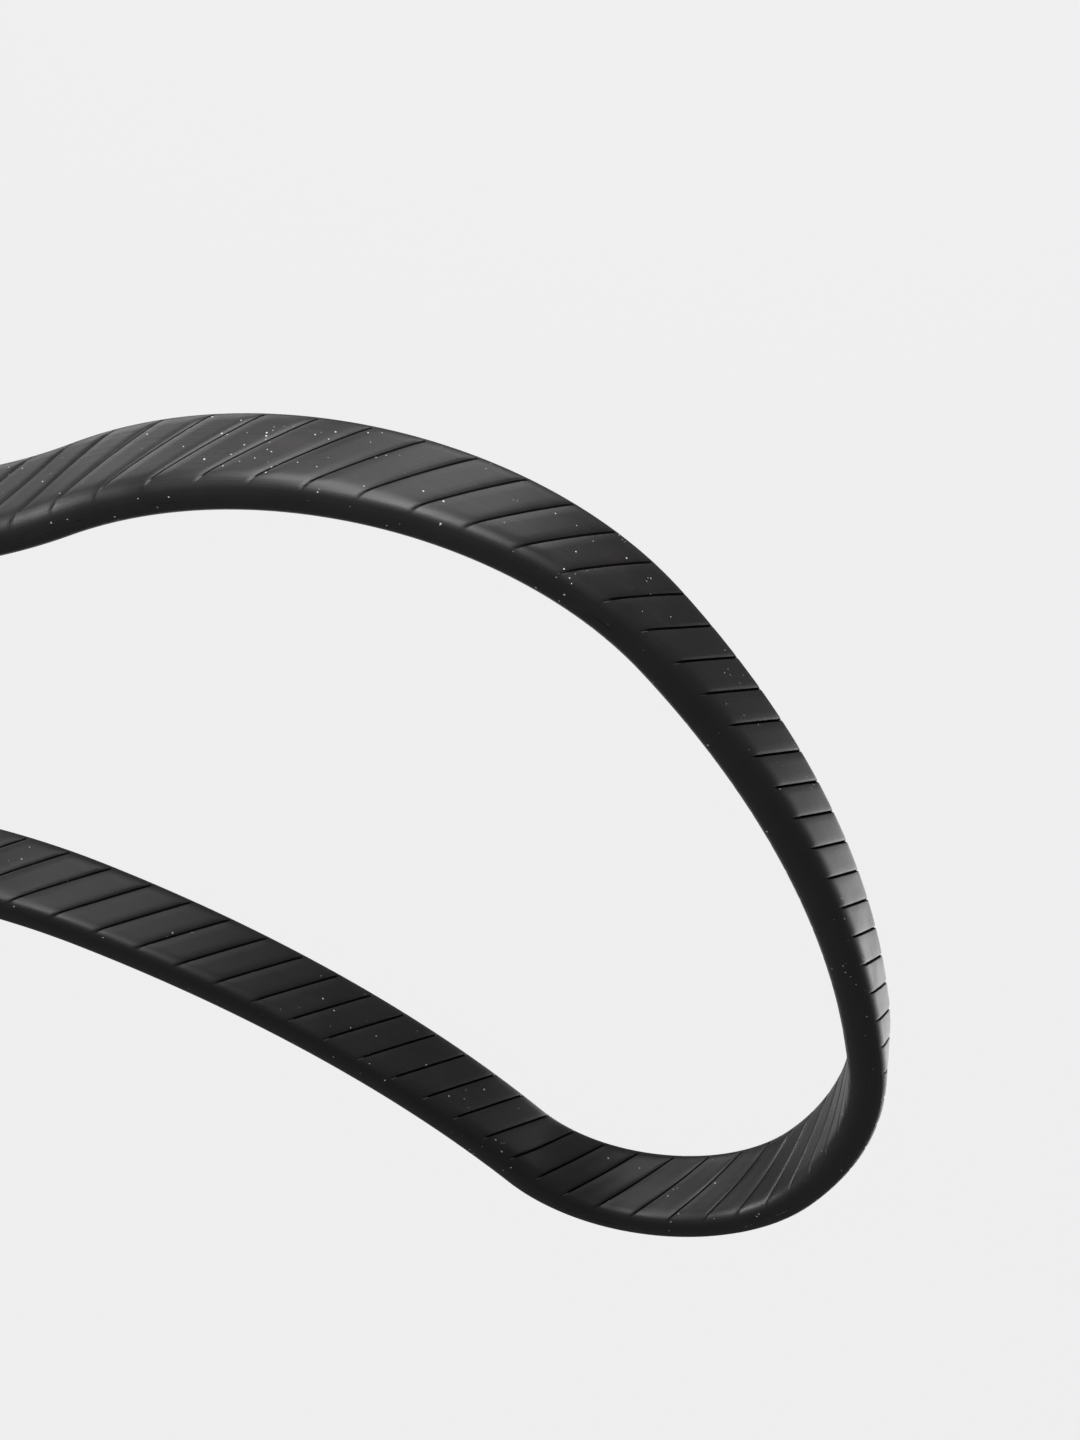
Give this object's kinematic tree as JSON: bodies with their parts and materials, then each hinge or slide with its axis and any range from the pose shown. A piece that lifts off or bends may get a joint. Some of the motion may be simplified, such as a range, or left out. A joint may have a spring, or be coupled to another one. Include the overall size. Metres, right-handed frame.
{
  "type": "rubber track band",
  "caption": "Endless rubber track band with rounded shoulders and fine slanting grooves on both running faces, lying slack on one edge.",
  "frame": {"origin": "the loop's centre of symmetry, at the level of the edge that it stands on", "axes": "+Z across the band's width, away from the surface it stands on; +X along the runs at the waist, the longest way of the loop"},
  "size_m": [0.2482, 0.1268, 0.01],
  "materials": {
    "outer_rubber": "matte",
    "inner_rubber": "matte",
    "cushion_rubber": "matte",
    "cord_steel": "satin"
  },
  "bodies": {
    "length_01": {"outer_cover_01": "outer_rubber", "inner_cover_01": "inner_rubber", "cord_bed_01": "cushion_rubber", "tension_cords_01": "cord_steel"},
    "length_02": {"outer_cover_02": "outer_rubber", "inner_cover_02": "inner_rubber", "cord_bed_02": "cushion_rubber", "tension_cords_02": "cord_steel"},
    "length_03": {"outer_cover_03": "outer_rubber", "inner_cover_03": "inner_rubber", "cord_bed_03": "cushion_rubber", "tension_cords_03": "cord_steel"},
    "length_04": {"outer_cover_04": "outer_rubber", "inner_cover_04": "inner_rubber", "cord_bed_04": "cushion_rubber", "tension_cords_04": "cord_steel"},
    "length_05": {"outer_cover_05": "outer_rubber", "inner_cover_05": "inner_rubber", "cord_bed_05": "cushion_rubber", "tension_cords_05": "cord_steel"},
    "length_06": {"outer_cover_06": "outer_rubber", "inner_cover_06": "inner_rubber", "cord_bed_06": "cushion_rubber", "tension_cords_06": "cord_steel"},
    "length_07": {"outer_cover_07": "outer_rubber", "inner_cover_07": "inner_rubber", "cord_bed_07": "cushion_rubber", "tension_cords_07": "cord_steel"},
    "length_08": {"outer_cover_08": "outer_rubber", "inner_cover_08": "inner_rubber", "cord_bed_08": "cushion_rubber", "tension_cords_08": "cord_steel"},
    "length_09": {"outer_cover_09": "outer_rubber", "inner_cover_09": "inner_rubber", "cord_bed_09": "cushion_rubber", "tension_cords_09": "cord_steel"},
    "length_10": {"outer_cover_10": "outer_rubber", "inner_cover_10": "inner_rubber", "cord_bed_10": "cushion_rubber", "tension_cords_10": "cord_steel"},
    "length_11": {"outer_cover_11": "outer_rubber", "inner_cover_11": "inner_rubber", "cord_bed_11": "cushion_rubber", "tension_cords_11": "cord_steel"},
    "length_12": {"outer_cover_12": "outer_rubber", "inner_cover_12": "inner_rubber", "cord_bed_12": "cushion_rubber", "tension_cords_12": "cord_steel"},
    "length_13": {"outer_cover_13": "outer_rubber", "inner_cover_13": "inner_rubber", "cord_bed_13": "cushion_rubber", "tension_cords_13": "cord_steel"}
  },
  "joints": [
    {"name": "bend_10_11", "type": "hinge", "parent": "length_10", "child": "length_11", "pos_m": [-0.11494, -0.01293, 0.005], "axis": [0, 0, 1], "range_deg": [-4.5, 2], "stiffness_Nm_per_rad": 0.012},
    {"name": "bend_11_12", "type": "hinge", "parent": "length_11", "child": "length_12", "pos_m": [-0.12186, 0.01385, 0.005], "axis": [0, 0, 1], "range_deg": [-6, 13.5], "stiffness_Nm_per_rad": 0.012},
    {"name": "bend_12_13", "type": "hinge", "parent": "length_12", "child": "length_13", "pos_m": [-0.09408, 0.02989, 0.005], "axis": [0, 0, 1], "range_deg": [-4, 9], "stiffness_Nm_per_rad": 0.012},
    {"name": "waist_bend", "type": "hinge", "parent": "length_13", "child": "length_01", "pos_m": [-0.0349, 0.01677, 0.005], "axis": [0, 0, -1], "range_deg": [-8, 18], "stiffness_Nm_per_rad": 0.012},
    {"name": "bend_01_02", "type": "hinge", "parent": "length_01", "child": "length_02", "pos_m": [0.01265, 0.04259, 0.005], "axis": [0, 0, 1], "range_deg": [-9, 4], "stiffness_Nm_per_rad": 0.012},
    {"name": "bend_02_03", "type": "hinge", "parent": "length_02", "child": "length_03", "pos_m": [0.06653, 0.05652, 0.005], "axis": [0, 0, 1], "range_deg": [-4, 9], "stiffness_Nm_per_rad": 0.012},
    {"name": "bend_10_09", "type": "hinge", "parent": "length_10", "child": "length_09", "pos_m": [-0.06653, -0.05652, 0.005], "axis": [0, 0, 1], "range_deg": [-9, 4], "stiffness_Nm_per_rad": 0.012},
    {"name": "bend_09_08", "type": "hinge", "parent": "length_09", "child": "length_08", "pos_m": [-0.01265, -0.04259, 0.005], "axis": [0, 0, 1], "range_deg": [-4, 9], "stiffness_Nm_per_rad": 0.012},
    {"name": "bend_08_07", "type": "hinge", "parent": "length_08", "child": "length_07", "pos_m": [0.0349, -0.01677, 0.005], "axis": [0, 0, 1], "range_deg": [-8, 18], "stiffness_Nm_per_rad": 0.012},
    {"name": "bend_07_06", "type": "hinge", "parent": "length_07", "child": "length_06", "pos_m": [0.09408, -0.02989, 0.005], "axis": [0, 0, 1], "range_deg": [-9, 4], "stiffness_Nm_per_rad": 0.012},
    {"name": "bend_06_05", "type": "hinge", "parent": "length_06", "child": "length_05", "pos_m": [0.12186, -0.01385, 0.005], "axis": [0, 0, 1], "range_deg": [-13.5, 6], "stiffness_Nm_per_rad": 0.012},
    {"name": "bend_05_04", "type": "hinge", "parent": "length_05", "child": "length_04", "pos_m": [0.11494, 0.01293, 0.005], "axis": [0, 0, 1], "range_deg": [-2, 4.5], "stiffness_Nm_per_rad": 0.012}
  ],
  "couplings": [
    {"joint": "bend_10_11", "follows": "waist_bend", "ratio": -0.25},
    {"joint": "bend_11_12", "follows": "waist_bend", "ratio": 0.75},
    {"joint": "bend_12_13", "follows": "waist_bend", "ratio": 0.5},
    {"joint": "bend_01_02", "follows": "waist_bend", "ratio": -0.5},
    {"joint": "bend_02_03", "follows": "waist_bend", "ratio": 0.5},
    {"joint": "bend_10_09", "follows": "waist_bend", "ratio": -0.5},
    {"joint": "bend_09_08", "follows": "waist_bend", "ratio": 0.5},
    {"joint": "bend_08_07", "follows": "waist_bend", "ratio": 1},
    {"joint": "bend_07_06", "follows": "waist_bend", "ratio": -0.5},
    {"joint": "bend_06_05", "follows": "waist_bend", "ratio": -0.75},
    {"joint": "bend_05_04", "follows": "waist_bend", "ratio": 0.25}
  ]
}
